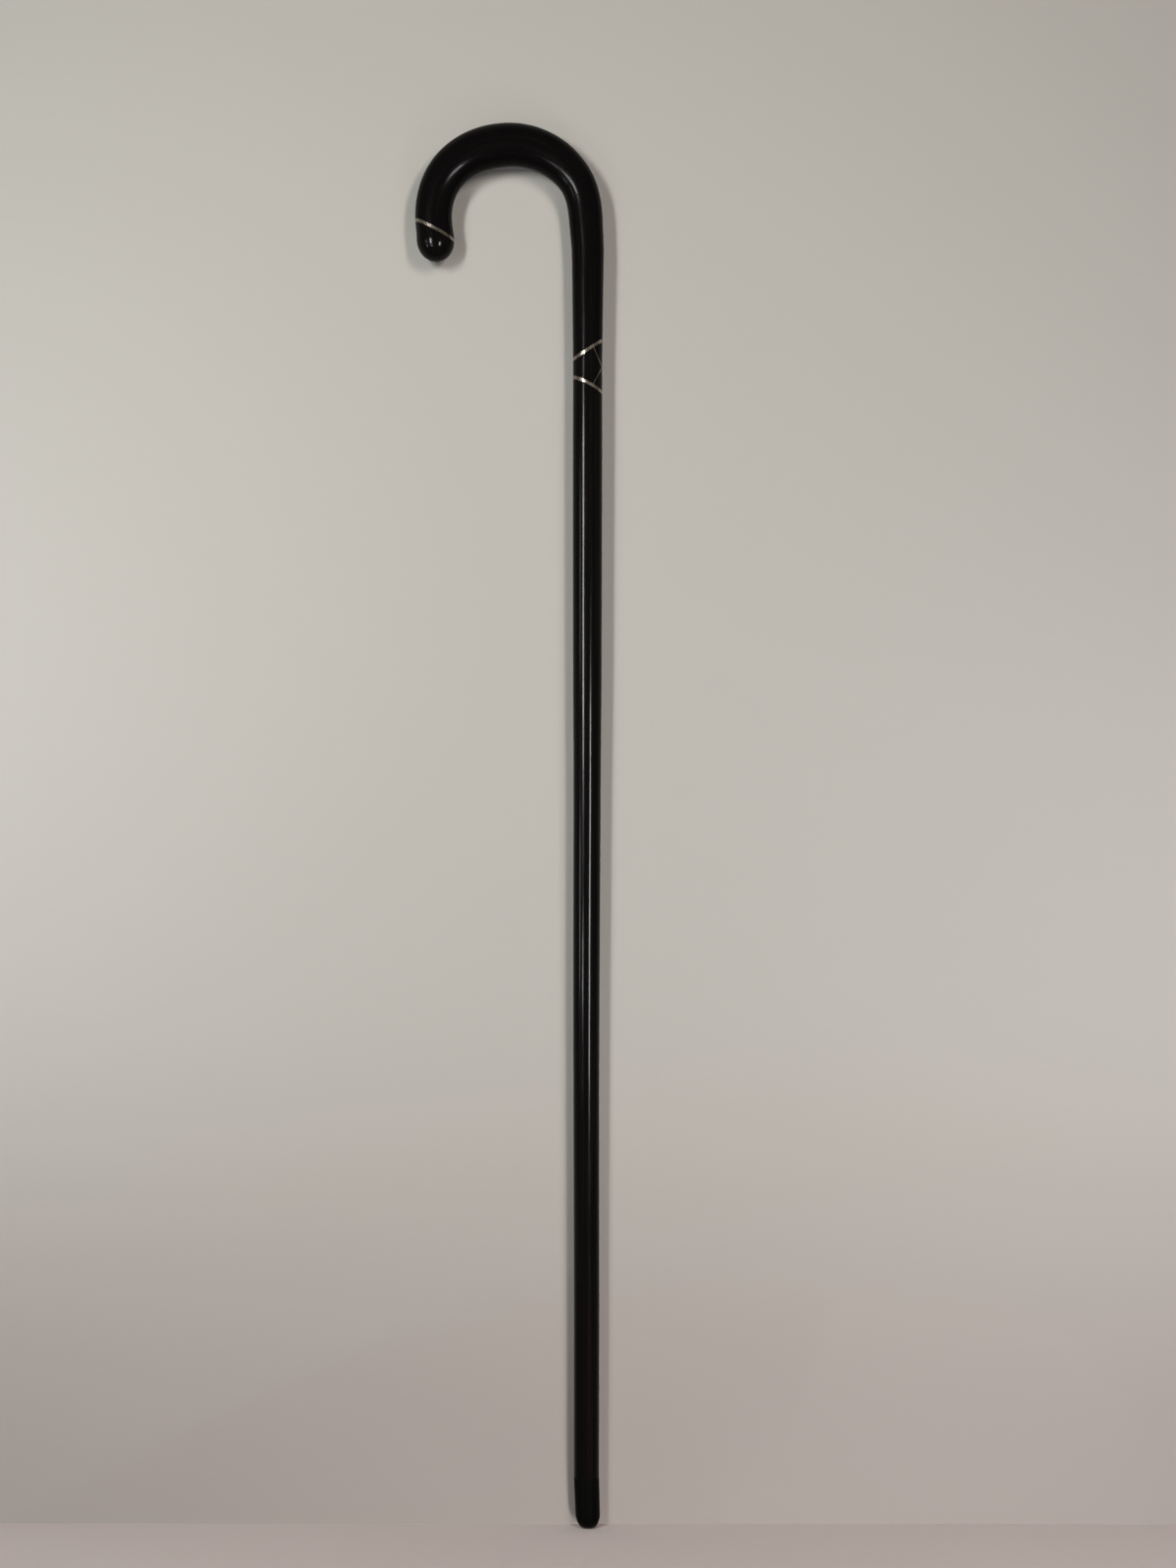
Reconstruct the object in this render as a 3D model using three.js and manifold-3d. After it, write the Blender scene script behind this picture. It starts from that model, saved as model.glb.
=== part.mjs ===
// A slim walking cane of dark polished wood with a round crook handle. Oblique discs of nickel silver, flush
// with the wood, mark off the collar under the crook and the rounded nose. Two thin sheets of the same metal
// cut the wide side of the collar into wedges, and a plain dark tip closes the foot.
//
// Millimetres, +Z up. The shaft stands on the Z axis with its foot on the origin, and the crook turns over
// towards -X in the XZ plane. A station is a distance along the stick's centreline, counted from the foot.

import * as THREE from 'three';
import { mergeVertices } from 'three/addons/utils/BufferGeometryUtils.js';
import Module from 'manifold-3d';

const wasm = await Module();
wasm.setup();

// Crook: the bend's own circle, how far it turns, and the straight nose after it
const bendCentreHeight = 836.5;
const bendRadius = 49.2;
const bendTurn = THREE.MathUtils.degToRad(185);
const noseLength = 21.5;
const noseDomeLength = 14.1;
const noseDomeRadius = 12.15;

// The hand-bent crook leaves its circle a little: in at the neck, out at the front
const neckEase = { depth: -1.3, middle: THREE.MathUtils.degToRad(5), reach: THREE.MathUtils.degToRad(30) };
const frontSwell = { depth: 2.2, middle: THREE.MathUtils.degToRad(143), reach: THREE.MathUtils.degToRad(50) };

// Shaft and tip
const ferruleLength = 32.4;
const ferruleLean = 1.15;
const shaftBow = { depth: -0.4, middle: 313, reach: 200 };
const footFlatRadius = 2.5;
const footRoundHeight = 9;
const footRadius = 7.82;

// Half thickness of the stick at stations, from the tip's rounding to the straight nose
const bendStation = (degrees) => bendCentreHeight + bendRadius * THREE.MathUtils.degToRad(degrees);
const bendEnd = bendCentreHeight + bendRadius * bendTurn;
const stickLength = bendEnd + noseLength;
const outline = [
  [footRoundHeight, footRadius],
  [40, 8.12],
  [225, 8.2],
  [400, 8.6],
  [480, 8.77],
  [545, 9.18],
  [680, 9.43],
  [742, 9.4],
  [765, 9.6],
  [812, 10.25],
  [bendCentreHeight, 10.85],
  [bendStation(30), 11.45],
  [bendStation(60), 12.95],
  [bendStation(85), 13.85],
  [bendStation(110), 14.0],
  [bendStation(135), 13.05],
  [bendStation(160), 12.15],
  [bendEnd, 11.8],
  [stickLength - noseDomeLength, noseDomeRadius],
];

// Metal: thick oblique discs across the stick, and thin sheets on the collar's wide side
const discThickness = 1.9;
const sheetThickness = 0.4;
const glueLine = 0.25;
const collarHeight = 742.8;
const collarWidth = 22.9;
const upperDiscSlope = [0.65, 0.0885];
const lowerDiscSlope = [-0.52, -0.0997];
const upperSheetTilt = THREE.MathUtils.degToRad(65);
const lowerSheetTilt = THREE.MathUtils.degToRad(63);
const noseCapLength = 19.9;
const noseDiscTilt = THREE.MathUtils.degToRad(27.8);

// Hidden fastenings: radius, length, and how far each is chamfered at its ends
const jointRod = { radius: 2.5, length: 80, chamfer: 0.8 };
const nosePin = { radius: 1.75, length: 24, chamfer: 0.6 };
const nosePinDepthInCap = 10;
const ferrulePeg = { radius: 3, length: 46, chamfer: 1 };
const ferrulePegHeight = 12;

// Fineness of the faces
const sides = 36;
const boreSides = 20;
const shaftStep = 45;
const bendStep = THREE.MathUtils.degToRad(6);
const roundingSteps = 6;

const up = new THREE.Vector3(0, 0, 1);

// Smooth cubic through the outline's points, with the two rounded ends as quarter ellipses
function radiusAt(station) {
  if (station < footRoundHeight) {
    const rise = 1 - station / footRoundHeight;
    return footFlatRadius + (footRadius - footFlatRadius) * Math.sqrt(1 - rise * rise);
  }
  const domeStart = stickLength - noseDomeLength;
  if (station > domeStart) {
    const run = (station - domeStart) / noseDomeLength;
    return noseDomeRadius * Math.sqrt(Math.max(0, 1 - run * run));
  }
  let k = 0;
  while (k < outline.length - 2 && outline[k + 1][0] < station) {
    k += 1;
  }
  const slopeAt = (index) => {
    const before = outline[Math.max(index - 1, 0)];
    const after = outline[Math.min(index + 1, outline.length - 1)];
    return (after[1] - before[1]) / (after[0] - before[0]);
  };
  const [start, startRadius] = outline[k];
  const [end, endRadius] = outline[k + 1];
  const span = end - start;
  const t = (station - start) / span;
  const blend = t * t * (3 - 2 * t);
  const rounding = t * (1 - t) * span * ((1 - t) * slopeAt(k) - t * slopeAt(k + 1));
  return startRadius + (endRadius - startRadius) * blend + rounding;
}

// A smooth bump of a given depth about a middle angle or station, zero beyond its reach
function bump({ depth, middle, reach }, place) {
  const share = (place - middle) / reach;
  return Math.abs(share) < 1 ? depth * Math.cos((share * Math.PI) / 2) ** 2 : 0;
}

// The centreline's frame at a station: its point, the direction along the stick, and the outward direction
function frameAt(station) {
  const turn = THREE.MathUtils.clamp((station - bendCentreHeight) / bendRadius, 0, bendTurn);
  const along = new THREE.Vector3(-Math.sin(turn), 0, Math.cos(turn));
  const outward = new THREE.Vector3(Math.cos(turn), 0, Math.sin(turn));
  const point = new THREE.Vector3(-bendRadius, 0, bendCentreHeight).addScaledVector(outward, bendRadius);
  const straight = station - THREE.MathUtils.clamp(station, bendCentreHeight, bendEnd);
  point.addScaledVector(along, straight);
  const angle = (station - bendCentreHeight) / bendRadius;
  point.addScaledVector(outward, bump(neckEase, angle) + bump(frontSwell, angle));
  point.x += bump(shaftBow, station) + ferruleLean * Math.max(0, 1 - station / ferruleLength);
  return { point, along, outward };
}

// Every station where the stick needs a ring: close together where it bends or rounds off
function ringStations() {
  const rings = [0];
  for (let k = 1; k <= roundingSteps; k += 1) {
    rings.push(footRoundHeight * (1 - Math.cos((k / roundingSteps) * (Math.PI / 2))));
  }
  const shaftRings = Math.ceil((bendCentreHeight - footRoundHeight) / shaftStep);
  for (let k = 1; k <= shaftRings; k += 1) {
    rings.push(footRoundHeight + (k / shaftRings) * (bendCentreHeight - footRoundHeight));
  }
  const bendRings = Math.ceil(bendTurn / bendStep);
  for (let k = 1; k <= bendRings; k += 1) {
    rings.push(bendCentreHeight + (k / bendRings) * (bendEnd - bendCentreHeight));
  }
  const domeStart = stickLength - noseDomeLength;
  for (let k = 0; k <= roundingSteps; k += 1) {
    rings.push(domeStart + noseDomeLength * Math.sin((k / roundingSteps) * (Math.PI / 2)));
  }
  return rings;
}

// A closed geometry as a solid: its shared vertices merged, and the slivers on its axis left out
function solid(geometry) {
  geometry.deleteAttribute('normal');
  geometry.deleteAttribute('uv');
  const merged = mergeVertices(geometry, 1e-4);
  const index = merged.getIndex().array;
  const triangles = [];
  for (let k = 0; k < index.length; k += 3) {
    const [a, b, c] = index.slice(k, k + 3);
    if (a !== b && b !== c && c !== a) {
      triangles.push(a, b, c);
    }
  }
  const mesh = new wasm.Mesh({
    numProp: 3,
    vertProperties: new Float32Array(merged.getAttribute('position').array),
    triVerts: new Uint32Array(triangles),
  });
  return new wasm.Manifold(mesh);
}

// The plain stick between two stations: a turned profile laid along the centreline
function stick(from, to) {
  const between = ringStations().filter((ring) => ring > from + 1 && ring < to - 0.01);
  const stations = [from, ...between, to];
  const profile = stations.map((station) => new THREE.Vector2(radiusAt(station), station));
  profile.unshift(new THREE.Vector2(0, from));
  if (to < stickLength) {
    profile.push(new THREE.Vector2(0, to));
  }
  const geometry = new THREE.LatheGeometry(profile, sides);
  const position = geometry.getAttribute('position');
  for (let k = 0; k < position.count; k += 1) {
    const { point, outward } = frameAt(position.getY(k));
    point.addScaledVector(outward, position.getZ(k));
    point.y += position.getX(k);
    position.setXYZ(k, point.x, point.y, point.z);
  }
  return solid(geometry);
}

// A plane across the stick, by a point on it and the direction that its upper side faces
function plane(point, normal) {
  return { point, normal: normal.normalize() };
}

// The space between two parallel planes, wide enough to cut right through the stick
function layer(base, low, high) {
  const width = 6 * noseDomeRadius;
  const geometry = new THREE.BoxGeometry(width, width, high - low);
  geometry.translate(0, 0, (low + high) / 2);
  geometry.applyQuaternion(new THREE.Quaternion().setFromUnitVectors(up, base.normal));
  geometry.translate(base.point.x, base.point.y, base.point.z);
  return solid(geometry);
}

// A round rod with chamfered ends, from a point along a direction
function rodSolid({ radius, length, chamfer }, start, direction) {
  const profile = [
    new THREE.Vector2(0, 0),
    new THREE.Vector2(radius - chamfer, 0),
    new THREE.Vector2(radius, chamfer),
    new THREE.Vector2(radius, length - chamfer),
    new THREE.Vector2(radius - chamfer, length),
    new THREE.Vector2(0, length),
  ];
  const geometry = new THREE.LatheGeometry(profile, boreSides);
  geometry.rotateX(Math.PI / 2);
  geometry.applyQuaternion(new THREE.Quaternion().setFromUnitVectors(up, direction));
  geometry.translate(start.x, start.y, start.z);
  return solid(geometry);
}

// The hole that such a rod sits in, one glue line larger all round
function boreSolid(rod, start, direction) {
  const larger = {
    radius: rod.radius + glueLine,
    length: rod.length + 2 * glueLine,
    chamfer: rod.chamfer,
  };
  return rodSolid(larger, start.clone().addScaledVector(direction, -glueLine), direction);
}

// How far an oblique disc reaches above or below its middle, with room to spare
function reachOf([slopeX, slopeY]) {
  return discThickness + 1.5 * radiusAt(collarHeight) * Math.hypot(slopeX, slopeY) + glueLine;
}

// The cuts: half a disc or half a sheet to each side, and then the glue line
const discHalf = discThickness / 2;
const sheetHalf = sheetThickness / 2;
const discCut = discHalf + glueLine;
const sheetCut = sheetHalf + glueLine;
const farAway = 45;

const discPlane = (height, [slopeX, slopeY]) =>
  plane(new THREE.Vector3(0, 0, height), new THREE.Vector3(-slopeX, -slopeY, 1));
const upperDiscHeight = collarHeight + collarWidth / 2;
const lowerDiscHeight = collarHeight - collarWidth / 2;
const upperDisc = discPlane(upperDiscHeight, upperDiscSlope);
const lowerDisc = discPlane(lowerDiscHeight, lowerDiscSlope);

// The two sheets meet at the collar's widest line, and each faces away from the collar's core
const sheetMeeting = new THREE.Vector3(radiusAt(collarHeight), 0, collarHeight);
const upperSheet = plane(sheetMeeting, new THREE.Vector3(Math.sin(upperSheetTilt), 0, Math.cos(upperSheetTilt)));
const lowerSheet = plane(sheetMeeting, new THREE.Vector3(Math.sin(lowerSheetTilt), 0, -Math.cos(lowerSheetTilt)));
const collarMiddle = plane(sheetMeeting, up.clone());

// The nose disc's upper side faces the crook
const noseDiscStation = stickLength - noseCapLength;
const noseFrame = frameAt(noseDiscStation);
const noseDisc = plane(noseFrame.point, new THREE.Vector3(Math.sin(noseDiscTilt), 0, Math.cos(noseDiscTilt)));
const noseReach = discThickness + 1.5 * noseDomeRadius * Math.tan(noseDiscTilt);

// Fastenings and their holes
const rodStart = new THREE.Vector3(0, 0, collarHeight - jointRod.length / 2);
const rodBore = boreSolid(jointRod, rodStart, up);
const intoCrook = noseFrame.along.clone().negate();
const pinStart = noseFrame.point.clone().addScaledVector(intoCrook, -nosePinDepthInCap);
const pinBore = boreSolid(nosePin, pinStart, intoCrook);
const pegStart = new THREE.Vector3(0, 0, ferrulePegHeight);
const pegBore = boreSolid(ferrulePeg, pegStart, up);

function crookHandle() {
  const blank = stick(upperDiscHeight - reachOf(upperDiscSlope), noseDiscStation + noseReach);
  return blank
    .subtract(layer(upperDisc, -farAway, discCut))
    .subtract(layer(noseDisc, -farAway, discCut))
    .subtract(rodBore)
    .subtract(pinBore);
}

function noseBand() {
  return stick(noseDiscStation - noseReach, noseDiscStation + noseReach)
    .intersect(layer(noseDisc, -discHalf, discHalf))
    .subtract(pinBore);
}

function noseCap() {
  return stick(noseDiscStation - noseReach, stickLength)
    .intersect(layer(noseDisc, -farAway, -discCut))
    .subtract(pinBore);
}

function collarBand(base, height, slope) {
  return stick(height - reachOf(slope), height + reachOf(slope))
    .intersect(layer(base, -discHalf, discHalf))
    .subtract(rodBore);
}

// The wood between the two oblique discs, before the sheets divide it
function collarBlank() {
  return stick(lowerDiscHeight - reachOf(lowerDiscSlope), upperDiscHeight + reachOf(upperDiscSlope))
    .intersect(layer(upperDisc, -farAway, -discCut))
    .intersect(layer(lowerDisc, discCut, farAway))
    .subtract(rodBore);
}

function collarBlock() {
  return collarBlank()
    .intersect(layer(upperSheet, -farAway, -sheetCut))
    .intersect(layer(lowerSheet, -farAway, -sheetCut));
}

// The half of the collar above its middle, or below it, where one sheet and one wedge lie
function collarHalf(above) {
  const half = above ? layer(collarMiddle, glueLine / 2, farAway) : layer(collarMiddle, -farAway, -glueLine / 2);
  return collarBlank().intersect(half);
}

function wedgeSheet(sheet, above) {
  return collarHalf(above).intersect(layer(sheet, -sheetHalf, sheetHalf));
}

function collarWedge(sheet, above) {
  return collarHalf(above).intersect(layer(sheet, sheetCut, farAway));
}

function shaft() {
  return stick(ferruleLength + glueLine / 2, lowerDiscHeight + reachOf(lowerDiscSlope))
    .subtract(layer(lowerDisc, -discCut, farAway))
    .subtract(rodBore)
    .subtract(pegBore);
}

function ferrule() {
  return stick(0, ferruleLength - glueLine / 2).subtract(pegBore);
}

const satinEbony = { color: 0x151312, roughness: 0.35, metalness: 0 };
const glossEbony = { color: 0x140f0e, roughness: 0.12, metalness: 0 };
const nickelSilver = { color: 0xcfc8bb, roughness: 0.25, metalness: 1 };
const steel = { color: 0x9a9a98, roughness: 0.4, metalness: 1 };
const horn = { color: 0x0d0d0d, roughness: 0.6, metalness: 0 };
const pegWood = { color: 0x8a6a44, roughness: 0.7, metalness: 0 };

const cane = new THREE.Group();

function addPart(name, manifold, finish) {
  const mesh = manifold.getMesh();
  const geometry = new THREE.BufferGeometry();
  geometry.setAttribute('position', new THREE.BufferAttribute(mesh.vertProperties, 3));
  geometry.setIndex(new THREE.BufferAttribute(mesh.triVerts, 1));
  geometry.computeVertexNormals();
  const part = new THREE.Mesh(geometry, new THREE.MeshStandardMaterial(finish));
  part.name = name;
  cane.add(part);
}

addPart('crook_handle', crookHandle(), satinEbony);
addPart('nose_band', noseBand(), nickelSilver);
addPart('nose_cap', noseCap(), glossEbony);
addPart('nose_pin', rodSolid(nosePin, pinStart, intoCrook), steel);
addPart('upper_collar_band', collarBand(upperDisc, upperDiscHeight, upperDiscSlope), nickelSilver);
addPart('collar_block', collarBlock(), glossEbony);
addPart('upper_wedge_sheet', wedgeSheet(upperSheet, true), nickelSilver);
addPart('upper_collar_wedge', collarWedge(upperSheet, true), glossEbony);
addPart('lower_wedge_sheet', wedgeSheet(lowerSheet, false), nickelSilver);
addPart('lower_collar_wedge', collarWedge(lowerSheet, false), glossEbony);
addPart('lower_collar_band', collarBand(lowerDisc, lowerDiscHeight, lowerDiscSlope), nickelSilver);
addPart('joint_rod', rodSolid(jointRod, rodStart, up), steel);
addPart('shaft', shaft(), glossEbony);
addPart('ferrule_peg', rodSolid(ferrulePeg, pegStart, up), pegWood);
addPart('ferrule', ferrule(), horn);

export default cane;
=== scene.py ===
# A slim walking cane of polished ebony with a round crook handle, standing before pale studio paper.
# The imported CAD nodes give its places. Finely rounded pieces of the same shape replace those that
# show, and the fastenings inside keep the mesh that they have.

import math

import bmesh
import bpy
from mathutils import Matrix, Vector


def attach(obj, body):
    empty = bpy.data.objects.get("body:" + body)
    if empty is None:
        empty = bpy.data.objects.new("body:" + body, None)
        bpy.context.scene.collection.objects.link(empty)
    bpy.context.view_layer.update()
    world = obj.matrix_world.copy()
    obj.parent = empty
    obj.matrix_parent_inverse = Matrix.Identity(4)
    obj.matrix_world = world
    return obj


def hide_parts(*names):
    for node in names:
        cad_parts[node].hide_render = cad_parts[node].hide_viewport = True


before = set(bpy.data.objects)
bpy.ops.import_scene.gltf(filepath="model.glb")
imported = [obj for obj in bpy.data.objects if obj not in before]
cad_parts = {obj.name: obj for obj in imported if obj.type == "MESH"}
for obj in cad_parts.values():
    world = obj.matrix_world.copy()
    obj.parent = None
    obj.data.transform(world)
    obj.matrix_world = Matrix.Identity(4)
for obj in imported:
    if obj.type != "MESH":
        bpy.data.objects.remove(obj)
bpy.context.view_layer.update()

MM = 0.001

# The stick's sizes in millimetres, as in the part's own source. A station is a distance along the
# centreline from the foot. The crook turns over towards -X in the XZ plane.
BEND_CENTRE_HEIGHT = 836.5
BEND_RADIUS = 49.2
BEND_TURN = math.radians(185)
NOSE_LENGTH = 21.5
NOSE_DOME_LENGTH = 14.1
NOSE_DOME_RADIUS = 12.15
NECK_EASE = {"depth": -1.3, "middle": math.radians(5), "reach": math.radians(30)}
FRONT_SWELL = {"depth": 2.2, "middle": math.radians(143), "reach": math.radians(50)}
FERRULE_LENGTH = 32.4
FERRULE_LEAN = 1.15
SHAFT_BOW = {"depth": -0.4, "middle": 313, "reach": 200}
FOOT_FLAT_RADIUS = 2.5
FOOT_ROUND_HEIGHT = 9
FOOT_RADIUS = 7.82

BEND_END = BEND_CENTRE_HEIGHT + BEND_RADIUS * BEND_TURN
STICK_LENGTH = BEND_END + NOSE_LENGTH
DOME_START = STICK_LENGTH - NOSE_DOME_LENGTH


def bend_station(degrees):
    """The station where the bend has turned through an angle."""
    return BEND_CENTRE_HEIGHT + BEND_RADIUS * math.radians(degrees)


# Half thickness of the stick at stations, from the tip's rounding to the straight nose
OUTLINE = [
    (FOOT_ROUND_HEIGHT, FOOT_RADIUS),
    (40, 8.12),
    (225, 8.2),
    (400, 8.6),
    (480, 8.77),
    (545, 9.18),
    (680, 9.43),
    (742, 9.4),
    (765, 9.6),
    (812, 10.25),
    (BEND_CENTRE_HEIGHT, 10.85),
    (bend_station(30), 11.45),
    (bend_station(60), 12.95),
    (bend_station(85), 13.85),
    (bend_station(110), 14.0),
    (bend_station(135), 13.05),
    (bend_station(160), 12.15),
    (BEND_END, 11.8),
    (DOME_START, NOSE_DOME_RADIUS),
]

# The metal's sizes and places. A disc's slope is its rise along X and along Y.
DISC_THICKNESS = 1.9
SHEET_THICKNESS = 0.4
COLLAR_HEIGHT = 742.8
COLLAR_WIDTH = 22.9
UPPER_DISC_SLOPE = (0.65, 0.0885)
LOWER_DISC_SLOPE = (-0.52, -0.0997)
UPPER_SHEET_TILT = math.radians(65)
LOWER_SHEET_TILT = math.radians(63)
NOSE_CAP_LENGTH = 19.9
NOSE_DISC_TILT = math.radians(27.8)

# Hairline between fitted pieces, which closes the glue line that the solids leave
FIT = 0.02

# Fineness of the rounded pieces, and the angle from which an edge shows as sharp
SIDES = 128
SHAFT_STEP = 9
BEND_STEP = math.radians(2)
ROUNDING_STEPS = 14
SHARP_ANGLE = math.radians(25)

# The least distance from a plain stick's two ends to the rings between them
FIRST_RING_GAP = 1
LAST_RING_GAP = 0.01

# How far a cut piece's plain stick reaches past its planes, and how far a cut reaches from its point
REACH = 18
CUT_REACH = 45

# Points that are closer than this, in metres, are one point
SAME_POINT = 1e-7


def radius_at(station):
    """Smooth cubic through the outline's points, with the two rounded ends as quarter ellipses."""
    if station < FOOT_ROUND_HEIGHT:
        rise = 1 - station / FOOT_ROUND_HEIGHT
        return FOOT_FLAT_RADIUS + (FOOT_RADIUS - FOOT_FLAT_RADIUS) * math.sqrt(1 - rise * rise)
    if station > DOME_START:
        run = (station - DOME_START) / NOSE_DOME_LENGTH
        return NOSE_DOME_RADIUS * math.sqrt(max(0, 1 - run * run))
    k = 0
    while k < len(OUTLINE) - 2 and OUTLINE[k + 1][0] < station:
        k += 1

    def slope_at(index):
        before = OUTLINE[max(index - 1, 0)]
        after = OUTLINE[min(index + 1, len(OUTLINE) - 1)]
        return (after[1] - before[1]) / (after[0] - before[0])

    start, start_radius = OUTLINE[k]
    end, end_radius = OUTLINE[k + 1]
    span = end - start
    t = (station - start) / span
    blend = t * t * (3 - 2 * t)
    rounding = t * (1 - t) * span * ((1 - t) * slope_at(k) - t * slope_at(k + 1))
    return start_radius + (end_radius - start_radius) * blend + rounding


def bump(place, depth, middle, reach):
    """A smooth bump of a given depth about a middle angle or station, zero beyond its reach."""
    share = (place - middle) / reach
    return depth * math.cos(share * math.pi / 2) ** 2 if abs(share) < 1 else 0


def frame_at(station):
    """The centreline's point at a station, and the direction outward from the bend's centre."""
    turn = min(max((station - BEND_CENTRE_HEIGHT) / BEND_RADIUS, 0), BEND_TURN)
    along = Vector((-math.sin(turn), 0, math.cos(turn)))
    outward = Vector((math.cos(turn), 0, math.sin(turn)))
    point = Vector((-BEND_RADIUS, 0, BEND_CENTRE_HEIGHT)) + BEND_RADIUS * outward
    point += (station - min(max(station, BEND_CENTRE_HEIGHT), BEND_END)) * along
    angle = (station - BEND_CENTRE_HEIGHT) / BEND_RADIUS
    point += (bump(angle, **NECK_EASE) + bump(angle, **FRONT_SWELL)) * outward
    point.x += bump(station, **SHAFT_BOW) + FERRULE_LEAN * max(0, 1 - station / FERRULE_LENGTH)
    return point, outward


def ring_stations():
    """Every station where the stick needs a ring: close together where it bends or rounds off."""
    def between(low, high, step):
        count = math.ceil((high - low) / step)
        return [low + (high - low) * k / count for k in range(1, count + 1)]

    quarter = [k / ROUNDING_STEPS * math.pi / 2 for k in range(ROUNDING_STEPS + 1)]
    foot = [FOOT_ROUND_HEIGHT * (1 - math.cos(angle)) for angle in quarter]
    shaft = between(FOOT_ROUND_HEIGHT, BEND_CENTRE_HEIGHT, SHAFT_STEP)
    bend = between(BEND_CENTRE_HEIGHT, BEND_END, BEND_RADIUS * BEND_STEP)
    nose = between(BEND_END, DOME_START, BEND_RADIUS * BEND_STEP)
    dome = [DOME_START + NOSE_DOME_LENGTH * math.sin(angle) for angle in quarter[1:]]
    return foot + shaft + bend + nose + dome


def plain_stick(start, end):
    """A closed mesh of the stick between two stations. Its grain layer keeps each point's place in
    the straight stick before bending, in metres, so that the wood's grain follows the bend."""
    solid = bmesh.new()
    grain = solid.verts.layers.float_vector.new("grain")
    first, last = start + FIRST_RING_GAP, end - LAST_RING_GAP
    stations = [start] + [s for s in ring_stations() if first < s < last] + [end]
    rings = []
    for station in stations:
        radius = radius_at(station)
        point, outward = frame_at(station)
        ring = []
        for k in range(SIDES):
            angle = 2 * math.pi * k / SIDES
            out, side = radius * math.cos(angle), radius * math.sin(angle)
            vertex = solid.verts.new((point + out * outward + Vector((0, side, 0))) * MM)
            vertex[grain] = Vector((out, side, station)) * MM
            ring.append(vertex)
        rings.append(ring)
    for lower, upper in zip(rings, rings[1:]):
        for k in range(SIDES):
            beside = (k + 1) % SIDES
            solid.faces.new((lower[k], lower[beside], upper[beside], upper[k]))
    solid.faces.new(reversed(rings[0]))
    solid.faces.new(rings[-1])
    if radius_at(end) == 0:
        bmesh.ops.remove_doubles(solid, verts=rings[-1], dist=SAME_POINT)
    return solid


def keep_side(solid, point, normal):
    """Cuts the solid near a point with a plane, keeps the side that the normal points to, and closes
    the cut. What lies further away stays whole, such as the neck where the nose is cut."""
    near = {vertex for vertex in solid.verts if (vertex.co - point * MM).length < CUT_REACH * MM}
    edges = [edge for edge in solid.edges if near.issuperset(edge.verts)]
    faces = [face for face in solid.faces if near.issuperset(face.verts)]
    cut = bmesh.ops.bisect_plane(
        solid,
        geom=[*near, *edges, *faces],
        plane_co=point * MM,
        plane_no=normal,
        dist=SAME_POINT,
        clear_inner=True,
    )
    rim = [part for part in cut["geom_cut"] if isinstance(part, bmesh.types.BMEdge)]
    bmesh.ops.edgenet_fill(solid, edges=rim)


class Plane:
    """A plane across the stick. above and below are its two sides, each a way off from it."""

    def __init__(self, point, normal):
        self.point = Vector(point)
        self.normal = Vector(normal).normalized()

    def above(self, distance):
        return self.point + distance * self.normal, self.normal

    def below(self, distance):
        return self.point - distance * self.normal, -self.normal


def slice_of(plane, thickness):
    """Both faces of a flat piece that lies along a plane."""
    return [plane.above(-thickness / 2), plane.below(-thickness / 2)]


def disc_plane(height, slope):
    """The middle plane of one of the collar's discs."""
    return Plane((0, 0, height), (-slope[0], -slope[1], 1))


upper_disc_height = COLLAR_HEIGHT + COLLAR_WIDTH / 2
lower_disc_height = COLLAR_HEIGHT - COLLAR_WIDTH / 2
upper_disc = disc_plane(upper_disc_height, UPPER_DISC_SLOPE)
lower_disc = disc_plane(lower_disc_height, LOWER_DISC_SLOPE)
sheet_meeting = (radius_at(COLLAR_HEIGHT), 0, COLLAR_HEIGHT)
upper_sheet_normal = (math.sin(UPPER_SHEET_TILT), 0, math.cos(UPPER_SHEET_TILT))
lower_sheet_normal = (math.sin(LOWER_SHEET_TILT), 0, -math.cos(LOWER_SHEET_TILT))
upper_sheet = Plane(sheet_meeting, upper_sheet_normal)
lower_sheet = Plane(sheet_meeting, lower_sheet_normal)
collar_middle = Plane(sheet_meeting, (0, 0, 1))
nose_disc_station = STICK_LENGTH - NOSE_CAP_LENGTH
nose_disc_point, _ = frame_at(nose_disc_station)
nose_disc = Plane(nose_disc_point, (math.sin(NOSE_DISC_TILT), 0, math.cos(NOSE_DISC_TILT)))

past_disc = DISC_THICKNESS / 2 + FIT
past_sheet = SHEET_THICKNESS / 2 + FIT
collar = [upper_disc.below(past_disc), lower_disc.above(past_disc)]
collar_start = lower_disc_height - REACH
collar_end = upper_disc_height + REACH
nose_start = nose_disc_station - REACH
nose_end = nose_disc_station + REACH

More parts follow.
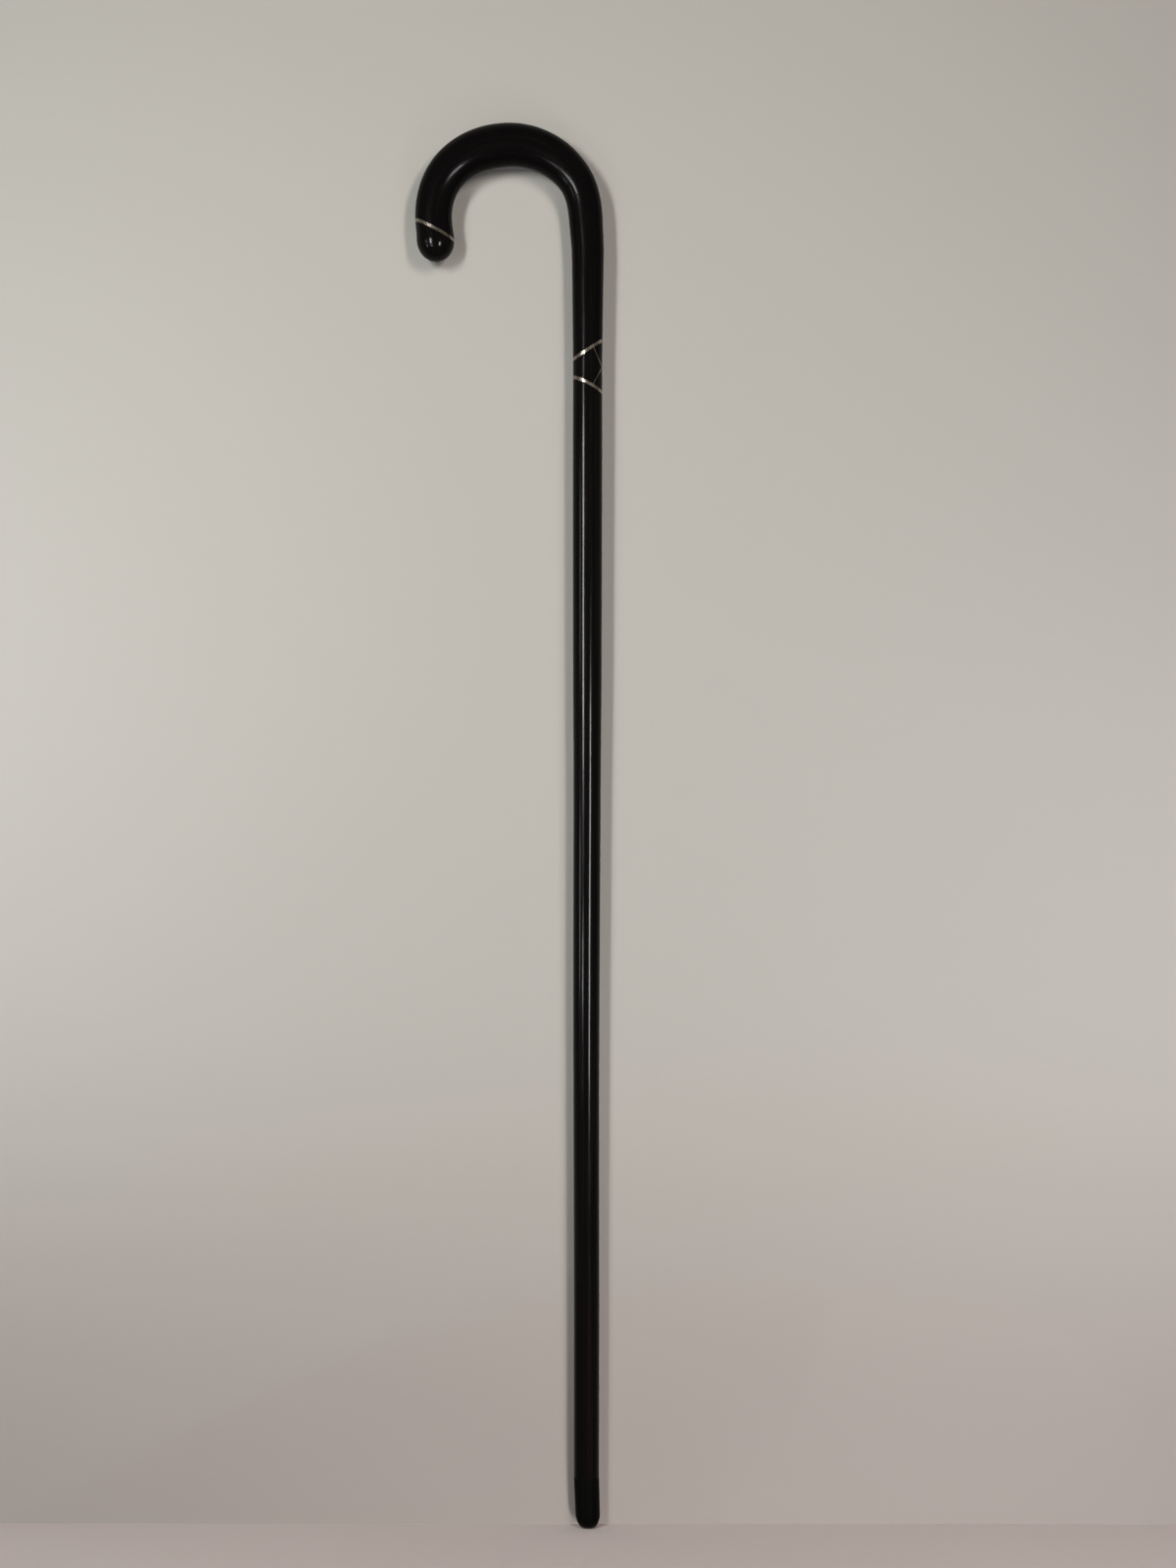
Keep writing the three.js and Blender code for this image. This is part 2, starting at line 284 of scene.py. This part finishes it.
# Each piece that shows: its CAD node, its material slot, the stations of its plain stick, its cuts
SHOWN_PIECES = [
    ("crook_handle", "satin_ebony", upper_disc_height - REACH, nose_end,
     [upper_disc.above(past_disc), nose_disc.above(past_disc)]),
    ("nose_band", "nickel_silver", nose_start, nose_end,
     slice_of(nose_disc, DISC_THICKNESS)),
    ("nose_cap", "gloss_ebony", nose_start, STICK_LENGTH,
     [nose_disc.below(past_disc)]),
    ("upper_collar_band", "nickel_silver", collar_start, collar_end,
     slice_of(upper_disc, DISC_THICKNESS)),
    ("collar_block", "gloss_ebony", collar_start, collar_end,
     collar + [upper_sheet.below(past_sheet), lower_sheet.below(past_sheet)]),
    ("upper_wedge_sheet", "nickel_silver", collar_start, collar_end,
     collar + slice_of(upper_sheet, SHEET_THICKNESS) + [collar_middle.above(FIT)]),
    ("upper_collar_wedge", "gloss_ebony", collar_start, collar_end,
     collar + [upper_sheet.above(past_sheet), collar_middle.above(FIT)]),
    ("lower_wedge_sheet", "nickel_silver", collar_start, collar_end,
     collar + slice_of(lower_sheet, SHEET_THICKNESS) + [collar_middle.below(FIT)]),
    ("lower_collar_wedge", "gloss_ebony", collar_start, collar_end,
     collar + [lower_sheet.above(past_sheet), collar_middle.below(FIT)]),
    ("lower_collar_band", "nickel_silver", collar_start, collar_end,
     slice_of(lower_disc, DISC_THICKNESS)),
    ("shaft", "gloss_ebony", FERRULE_LENGTH + FIT, lower_disc_height + REACH,
     [lower_disc.below(past_disc)]),
    ("ferrule", "horn", 0, FERRULE_LENGTH, []),
]

# The fastenings inside, each with its material slot
HIDDEN_PIECES = [
    ("joint_rod", "steel"),
    ("nose_pin", "steel"),
    ("ferrule_peg", "peg_wood"),
]


def make_piece(node, slot, start, end, cuts):
    """One visible piece, cut from the plain stick, in the place of its CAD node."""
    solid = plain_stick(start, end)
    for point, normal in cuts:
        keep_side(solid, point, normal)
    bmesh.ops.recalc_face_normals(solid, faces=solid.faces)
    for face in solid.faces:
        face.smooth = True
    mesh = bpy.data.meshes.new(node + "_finished")
    solid.to_mesh(mesh)
    solid.free()
    mesh.set_sharp_from_angle(angle=SHARP_ANGLE)
    mesh.materials.append(materials[slot])
    piece = bpy.data.objects.new(mesh.name, mesh)
    bpy.context.scene.collection.objects.link(piece)
    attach(piece, "root")
    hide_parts(node)


# The materials' two or three colours each
BLACK_HEART = (0.0032, 0.0029, 0.0031, 1)
BLACK_PORE = (0.0015, 0.0012, 0.0012, 1)
SATIN_BROWN = (0.0055, 0.0043, 0.0040, 1)
GLOSS_BROWN = (0.0072, 0.0048, 0.0043, 1)
BRIGHT_METAL = (0.66, 0.60, 0.50, 1)
TARNISHED_METAL = (0.47, 0.41, 0.32, 1)
DARK_HORN = (0.0018, 0.0018, 0.0019, 1)
PALE_HORN = (0.0034, 0.0032, 0.0031, 1)
SCUFFED_HORN = (0.022, 0.019, 0.016, 1)
DARK_STEEL = (0.26, 0.26, 0.25, 1)
PALE_STEEL = (0.40, 0.40, 0.39, 1)
DARK_PEG_WOOD = (0.17, 0.09, 0.035, 1)
PALE_PEG_WOOD = (0.33, 0.20, 0.085, 1)

# Heights above the ground, in millimetres, between which the tip's scuffs fade out
SCUFF_FADE = (0.5, 5)


def add_node(tree, kind, inputs=None, **settings):
    """A shader node with its settings, and its inputs given as values or as sockets to link."""
    node = tree.nodes.new(kind)
    for name, value in settings.items():
        setattr(node, name, value)
    for name, value in (inputs or {}).items():
        if isinstance(value, bpy.types.NodeSocket):
            tree.links.new(value, node.inputs[name])
        else:
            node.inputs[name].default_value = value
    return node


def calculate(tree, operation, *numbers):
    """The result of one operation on numbers, each a value or a socket."""
    inputs = dict(enumerate(numbers))
    return add_node(tree, "ShaderNodeMath", inputs, operation=operation).outputs[0]


def noise_at(tree, place, across, along, detail):
    """Noise from 0 to 1 whose features are across and along the stick by these lengths in mm."""
    scale = (1 / (across * MM), 1 / (across * MM), 1 / (along * MM))
    stretched = add_node(tree, "ShaderNodeVectorMath", {0: place, 1: scale}, operation="MULTIPLY")
    inputs = {"Vector": stretched.outputs[0], "Scale": 1.0, "Detail": detail}
    return add_node(tree, "ShaderNodeTexNoise", inputs).outputs["Fac"]


def map_range(tree, value, low, high, new_low=0, new_high=1):
    """The value's part between low and high, spread smoothly from new_low to new_high."""
    node = add_node(
        tree, "ShaderNodeMapRange",
        {"Value": value, "From Min": low, "From Max": high, "To Min": new_low, "To Max": new_high},
        interpolation_type="SMOOTHSTEP",
    )
    return node.outputs["Result"]


def mix_colours(tree, factor, first, second):
    """A colour between two others. Each may be a value or a socket."""
    node = tree.nodes.new("ShaderNodeMix")
    node.data_type = "RGBA"
    sockets = (node.inputs[0], node.inputs[6], node.inputs[7])
    for socket, value in zip(sockets, (factor, first, second)):
        if isinstance(value, bpy.types.NodeSocket):
            tree.links.new(value, socket)
        else:
            socket.default_value = value
    return node.outputs[2]


def add_bumps(tree, shader, layers):
    """Fine relief on a shader, from pairs of a height from 0 to 1 and its depth in mm."""
    normal = None
    for height, depth in layers:
        inputs = {"Height": height, "Strength": 1.0, "Distance": depth * MM}
        if normal is not None:
            inputs["Normal"] = normal
        normal = add_node(tree, "ShaderNodeBump", inputs).outputs["Normal"]
    tree.links.new(normal, shader.inputs["Normal"])


def new_material(name):
    """An empty material with its tree and its shader."""
    material = bpy.data.materials.new(name)
    material.use_nodes = True
    tree = material.node_tree
    return material, tree, tree.nodes["Principled BSDF"]


def grain_place(tree):
    """The place in the unbent stick, for the pieces that are made here."""
    return add_node(tree, "ShaderNodeAttribute", attribute_name="grain").outputs["Vector"]


def object_place(tree):
    """The object's own coordinates, for the paper and the CAD nodes that keep their mesh."""
    return tree.nodes.new("ShaderNodeTexCoord").outputs["Object"]


def ebony(name, brown, roughness, shine, ripple):
    """Near-black wood: brown streaks and fine pores along the grain, under a hand-rubbed polish."""
    material, tree, shader = new_material(name)
    place = grain_place(tree)
    streaks = noise_at(tree, place, across=3.0, along=140, detail=3)
    pores = noise_at(tree, place, across=0.22, along=5, detail=1)
    rubbing = noise_at(tree, place, across=7.0, along=11, detail=1)
    scratches = noise_at(tree, place, across=0.5, along=30, detail=2)
    brown_part = map_range(tree, streaks, 0.45, 0.72)
    pore_part = map_range(tree, pores, 0.58, 0.75, 0, 0.7)
    heart = mix_colours(tree, brown_part, BLACK_HEART, brown)
    colour = mix_colours(tree, pore_part, heart, BLACK_PORE)
    tree.links.new(colour, shader.inputs["Base Color"])
    shader.inputs["Specular IOR Level"].default_value = shine
    worn = map_range(tree, scratches, 0.3, 0.7, roughness - 0.04, roughness + 0.04)
    tree.links.new(worn, shader.inputs["Roughness"])
    add_bumps(tree, shader, [(rubbing, ripple), (pores, 0.0012)])
    return material


def nickel_silver():
    """Pale warm metal, rubbed down flush with the wood: fine scratches along the stick and faint
    tarnish."""
    material, tree, shader = new_material("nickel_silver")
    place = grain_place(tree)
    tarnish = noise_at(tree, place, across=2.4, along=2.4, detail=3)
    scratches = noise_at(tree, place, across=0.12, along=4, detail=2)
    dull_part = map_range(tree, tarnish, 0.4, 0.75)
    colour = mix_colours(tree, dull_part, BRIGHT_METAL, TARNISHED_METAL)
    tree.links.new(colour, shader.inputs["Base Color"])
    shader.inputs["Metallic"].default_value = 1.0
    tree.links.new(map_range(tree, scratches, 0.3, 0.7, 0.20, 0.28), shader.inputs["Roughness"])
    add_bumps(tree, shader, [(scratches, 0.0015)])
    return material


def horn():
    """Matt black horn: faint layers along the tip, and scuffs where it meets the ground."""
    material, tree, shader = new_material("horn")
    place = grain_place(tree)
    layers = noise_at(tree, place, across=0.9, along=40, detail=2)
    scuffs = noise_at(tree, place, across=0.6, along=0.6, detail=3)
    height = add_node(tree, "ShaderNodeSeparateXYZ", {"Vector": place}).outputs["Z"]
    near_ground = map_range(tree, height, SCUFF_FADE[0] * MM, SCUFF_FADE[1] * MM, 1, 0)
    scuffed = map_range(tree, scuffs, 0.42, 0.62)
    wear = calculate(tree, "MULTIPLY", near_ground, scuffed)
    pale_part = map_range(tree, layers, 0.35, 0.7)
    body = mix_colours(tree, pale_part, DARK_HORN, PALE_HORN)
    colour = mix_colours(tree, wear, body, SCUFFED_HORN)
    tree.links.new(colour, shader.inputs["Base Color"])
    shader.inputs["Specular IOR Level"].default_value = 0.05
    tree.links.new(map_range(tree, wear, 0, 1, 0.5, 0.8), shader.inputs["Roughness"])
    add_bumps(tree, shader, [(layers, 0.004), (scuffs, 0.004)])
    return material


def drawn_steel():
    """Plain steel rod with drawing lines along it."""
    material, tree, shader = new_material("drawn_steel")
    lines = noise_at(tree, object_place(tree), across=0.3, along=60, detail=2)
    colour = mix_colours(tree, lines, DARK_STEEL, PALE_STEEL)
    tree.links.new(colour, shader.inputs["Base Color"])
    shader.inputs["Metallic"].default_value = 1.0
    tree.links.new(map_range(tree, lines, 0.3, 0.7, 0.35, 0.5), shader.inputs["Roughness"])
    add_bumps(tree, shader, [(lines, 0.004)])
    return material


def peg_wood():
    """A turned peg of plain brown hardwood."""
    material, tree, shader = new_material("peg_wood")
    rings = noise_at(tree, object_place(tree), across=1.2, along=40, detail=3)
    colour = mix_colours(tree, rings, DARK_PEG_WOOD, PALE_PEG_WOOD)
    tree.links.new(colour, shader.inputs["Base Color"])
    tree.links.new(map_range(tree, rings, 0.3, 0.7, 0.6, 0.75), shader.inputs["Roughness"])
    add_bumps(tree, shader, [(rings, 0.02)])
    return material


materials = {
    "satin_ebony": ebony("satin_ebony", SATIN_BROWN, roughness=0.19, shine=0.10, ripple=0.01),
    "gloss_ebony": ebony("gloss_ebony", GLOSS_BROWN, roughness=0.15, shine=0.15, ripple=0.006),
    "nickel_silver": nickel_silver(),
    "horn": horn(),
    "steel": drawn_steel(),
    "peg_wood": peg_wood(),
}
for piece_facts in SHOWN_PIECES:
    make_piece(*piece_facts)
for node, slot in HIDDEN_PIECES:
    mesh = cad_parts[node].data
    mesh.materials.clear()
    mesh.materials.append(materials[slot])


# Stage: pale paper close behind the cane, folded forward under its foot as the floor. The wall holds
# painted shade: it is a little darker and warmer near the fold, where the light falls off towards the
# foot, and takes its plain colour above that band. All lengths from here on are in metres.
PAPER = (0.512, 0.500, 0.483, 1)
# Painted shade: the wall's darker, warmer colour near the fold, and the heights over which it fades
LOW_PAPER_PAINTED_SHADE = (0.449, 0.410, 0.404, 1)
PAINTED_SHADE_BAND = (0.05, 0.35)
FLOOR_PAPER = (0.67, 0.605, 0.60, 1)
FLOOR_BOUNCE = (0.05, 0.05, 0.05, 1)
FOLD_HEIGHT = 1e-5
WALL_GAP_AT_FLOOR = 0.0088
WALL_LEAN = 0.0061
WALL_HEIGHT = 1.7
FLOOR_DEPTH = 0.75
STAGE_HALF_WIDTH = 1.1
FADE_LENGTH = 0.6


def make_paper():
    """The wall and floor as one folded sheet. It faces the front and the top, and can be seen through
    from behind and from below, so that it never hides the cane."""
    wall_top = (WALL_GAP_AT_FLOOR + WALL_LEAN * WALL_HEIGHT, WALL_HEIGHT)
    fold = (WALL_GAP_AT_FLOOR, 0)
    floor_front = (-FLOOR_DEPTH, 0)
    sides = (-STAGE_HALF_WIDTH, STAGE_HALF_WIDTH)
    mesh = bpy.data.meshes.new("studio_paper")
    points = [(x, y, z) for y, z in (wall_top, fold, floor_front) for x in sides]
    mesh.from_pydata(points, [], [(0, 2, 3, 1), (2, 4, 5, 3)])
    mesh.materials.append(stage_paper())
    paper = bpy.data.objects.new("studio_paper", mesh)
    bpy.context.scene.collection.objects.link(paper)
    paper.visible_shadow = False
    paper.visible_glossy = False


def stage_paper():
    """Matt paper with a faint tooth, darker low on the wall as painted shade. It fades away towards
    its borders and shows one side only.
    """
    material, tree, shader = new_material("stage_paper")
    place = object_place(tree)
    axes = add_node(tree, "ShaderNodeSeparateXYZ", {"Vector": place}).outputs
    seen = tree.nodes.new("ShaderNodeLightPath").outputs["Is Camera Ray"]
    floor = mix_colours(tree, seen, FLOOR_BOUNCE, FLOOR_PAPER)
    # Painted shade: the wall's colour turns darker and warmer towards the fold, below the band's top
    wall = mix_colours(tree, map_range(tree, axes["Z"], *PAINTED_SHADE_BAND), LOW_PAPER_PAINTED_SHADE, PAPER)
    on_wall = calculate(tree, "GREATER_THAN", axes["Z"], FOLD_HEIGHT)
    tree.links.new(mix_colours(tree, on_wall, floor, wall), shader.inputs["Base Color"])
    shader.inputs["Roughness"].default_value = 0.9
    shader.inputs["Specular IOR Level"].default_value = 0.0
    tooth = add_node(tree, "ShaderNodeTexNoise", {"Vector": place, "Scale": 900.0, "Detail": 2.0})
    add_bumps(tree, shader, [(tooth.outputs["Fac"], 0.01)])
    behind = tree.nodes.new("ShaderNodeNewGeometry").outputs["Backfacing"]
    shown = calculate(tree, "SUBTRACT", 1.0, behind)
    borders = (
        (calculate(tree, "ABSOLUTE", axes["X"]), STAGE_HALF_WIDTH),
        (axes["Z"], WALL_HEIGHT),
        (calculate(tree, "MULTIPLY", axes["Y"], -1.0), FLOOR_DEPTH),
    )
    for distance, border in borders:
        part = map_range(tree, distance, border - FADE_LENGTH, border, 1, 0)
        shown = calculate(tree, "MULTIPLY", shown, part)
    tree.links.new(shown, shader.inputs["Alpha"])
    return material


make_paper()

# Studio light. Soft lamps on both sides of the camera, past the cane's two ends, light the cane and
# the paper, and two weak ones brighten the paper's sides. The polish mirrors none of these lamps. It
# mirrors plain panels beside the camera, in a room that is dim behind it.
LAMP_SIZE = (0.12, 0.4)
PANEL_WIDTH = 0.12
CANE_MIDDLE = (0, 0, 0.45)
LOW_LAMP_HEIGHT = -0.3
LOW_LAMP_SPREAD = 120
WASH_SPREAD = 100

# The right lamps are a little warmer than the left ones, which shows in the cane's two shadows
LEFT_TINT = (0.99, 1.005, 0.935)
RIGHT_TINT = (1.07, 0.98, 0.91)


def around(azimuth, distance, height):
    """A place around the cane. Azimuth 0 is the camera's side of it, and positive is its right."""
    angle = math.radians(azimuth)
    return Vector((distance * math.sin(angle), -distance * math.cos(angle), height))


def studio_light(name, place, target, size, radiance, spread=180, tint=(1, 1, 1)):
    """A soft rectangular light that faces its target. A grid before it limits its spread, in
    degrees."""
    light = bpy.data.lights.new(name, "AREA")
    light.shape = "RECTANGLE"
    light.size, light.size_y = size
    light.energy = radiance * math.pi * light.size * light.size_y
    light.spread = math.radians(spread)
    light.color = tint
    holder = bpy.data.objects.new(name, light)
    holder.location = place
    holder.rotation_euler = (Vector(target) - place).to_track_quat("-Z", "Y").to_euler()
    holder.visible_camera = False
    bpy.context.scene.collection.objects.link(holder)
    return holder


def lamp(name, place, target, radiance, spread=180, tint=(1, 1, 1)):
    """A lamp that lights matt surfaces only."""
    studio_light(name, place, target, LAMP_SIZE, radiance, spread, tint).visible_glossy = False


def low_lamp(name, azimuth, radiance, tint):
    """A level lamp below the cane's foot, which brightens the lower half of the paper."""
    place = around(azimuth, 1.0, LOW_LAMP_HEIGHT)
    lamp(name, place, (0, 0, LOW_LAMP_HEIGHT), radiance, LOW_LAMP_SPREAD, tint)


def wash(name, side, height, radiance):
    """A weak lamp straight before one side of the paper."""
    lamp(name, Vector((side, -0.7, height)), (side, 0, height), radiance, WASH_SPREAD)


def panel(name, azimuth, distance, low, high, radiance):
    """A bright upright panel between two heights, which shows in polish only."""
    place = around(azimuth, distance, (low + high) / 2)
    holder = studio_light(name, place, (0, 0, place.z), (PANEL_WIDTH, high - low), radiance)
    holder.visible_diffuse = False


lamp("left_high", around(-27.8, 1.2, 1.0), CANE_MIDDLE, radiance=52.5, tint=LEFT_TINT)
lamp("right_high", around(20, 1.0, 1.05), CANE_MIDDLE, radiance=29, tint=RIGHT_TINT)
low_lamp("left_low", -33, radiance=4.4, tint=LEFT_TINT)
low_lamp("right_low", 24, radiance=15.5, tint=RIGHT_TINT)
wash("left_wash", -0.5, 0.5, radiance=4.9)
wash("right_wash", 0.45, 0.35, radiance=4.4)

panel("left_panel", -33, 1.0, low=0.481, high=0.85, radiance=45)
panel("right_panel", 26, 1.2, low=0.16, high=0.555, radiance=46)
panel("left_low_panel", -31.5, 1.0, low=0.262, high=0.318, radiance=38)
panel("left_side_panel", -60, 1.0, low=0.275, high=0.44, radiance=9)
panel("left_side_high_panel", -60, 1.0, low=0.584, high=0.775, radiance=5)


# World: pale wherever the camera looks past the paper. Reflections meet that paleness behind the
# cane only, because the room behind the camera is dim. The turn from dim to pale lies between two
# shares of how far a reflection points to the back.
WORLD_PALE = (0.50, 0.465, 0.42, 1)
GLOSS_PALE = (0.24, 0.225, 0.205, 1)
DIM_ROOM = (0.09, 0.084, 0.077, 1)
FILL = (0.01, 0.0095, 0.009, 1)
DIM_TO_PALE = (-0.05, 0.35)


def make_world():
    """The surroundings, which differ for what the camera sees, for reflections and for the rest."""
    world = bpy.data.worlds.new("studio")
    world.use_nodes = True
    bpy.context.scene.world = world
    tree = world.node_tree
    direction = tree.nodes.new("ShaderNodeTexCoord").outputs["Generated"]
    towards_back = add_node(tree, "ShaderNodeSeparateXYZ", {"Vector": direction}).outputs["Y"]
    behind_cane = map_range(tree, towards_back, *DIM_TO_PALE)
    ray = tree.nodes.new("ShaderNodeLightPath").outputs
    mirrored = mix_colours(tree, behind_cane, DIM_ROOM, GLOSS_PALE)
    surroundings = mix_colours(tree, ray["Is Glossy Ray"], FILL, mirrored)
    seen = mix_colours(tree, ray["Is Camera Ray"], surroundings, WORLD_PALE)
    tree.links.new(seen, tree.nodes["Background"].inputs["Color"])


make_world()

# Camera: square to the cane from the photo's distance, opposite the picture's centre. Half the
# photo's height and the length of its lens are in the photo's pixels, each 0.628 mm at the cane.
CAMERA_DISTANCE = 1.7895
CAMERA_SIDE = 0.0005
CAMERA_HEIGHT = 0.4763
CAMERA_ROLL = math.radians(0.065)
HALF_PHOTO_HEIGHT = 800
LENS_LENGTH = 2850

camera_data = bpy.data.cameras.new("camera")
camera_data.lens = camera_data.sensor_width / 2 * LENS_LENGTH / HALF_PHOTO_HEIGHT
camera = bpy.data.objects.new("camera", camera_data)
camera.location = (CAMERA_SIDE, -CAMERA_DISTANCE, CAMERA_HEIGHT)
camera.rotation_euler = (math.pi / 2, -CAMERA_ROLL, 0)
bpy.context.scene.collection.objects.link(camera)
bpy.context.scene.camera = camera

bpy.context.scene.view_settings.view_transform = "Standard"
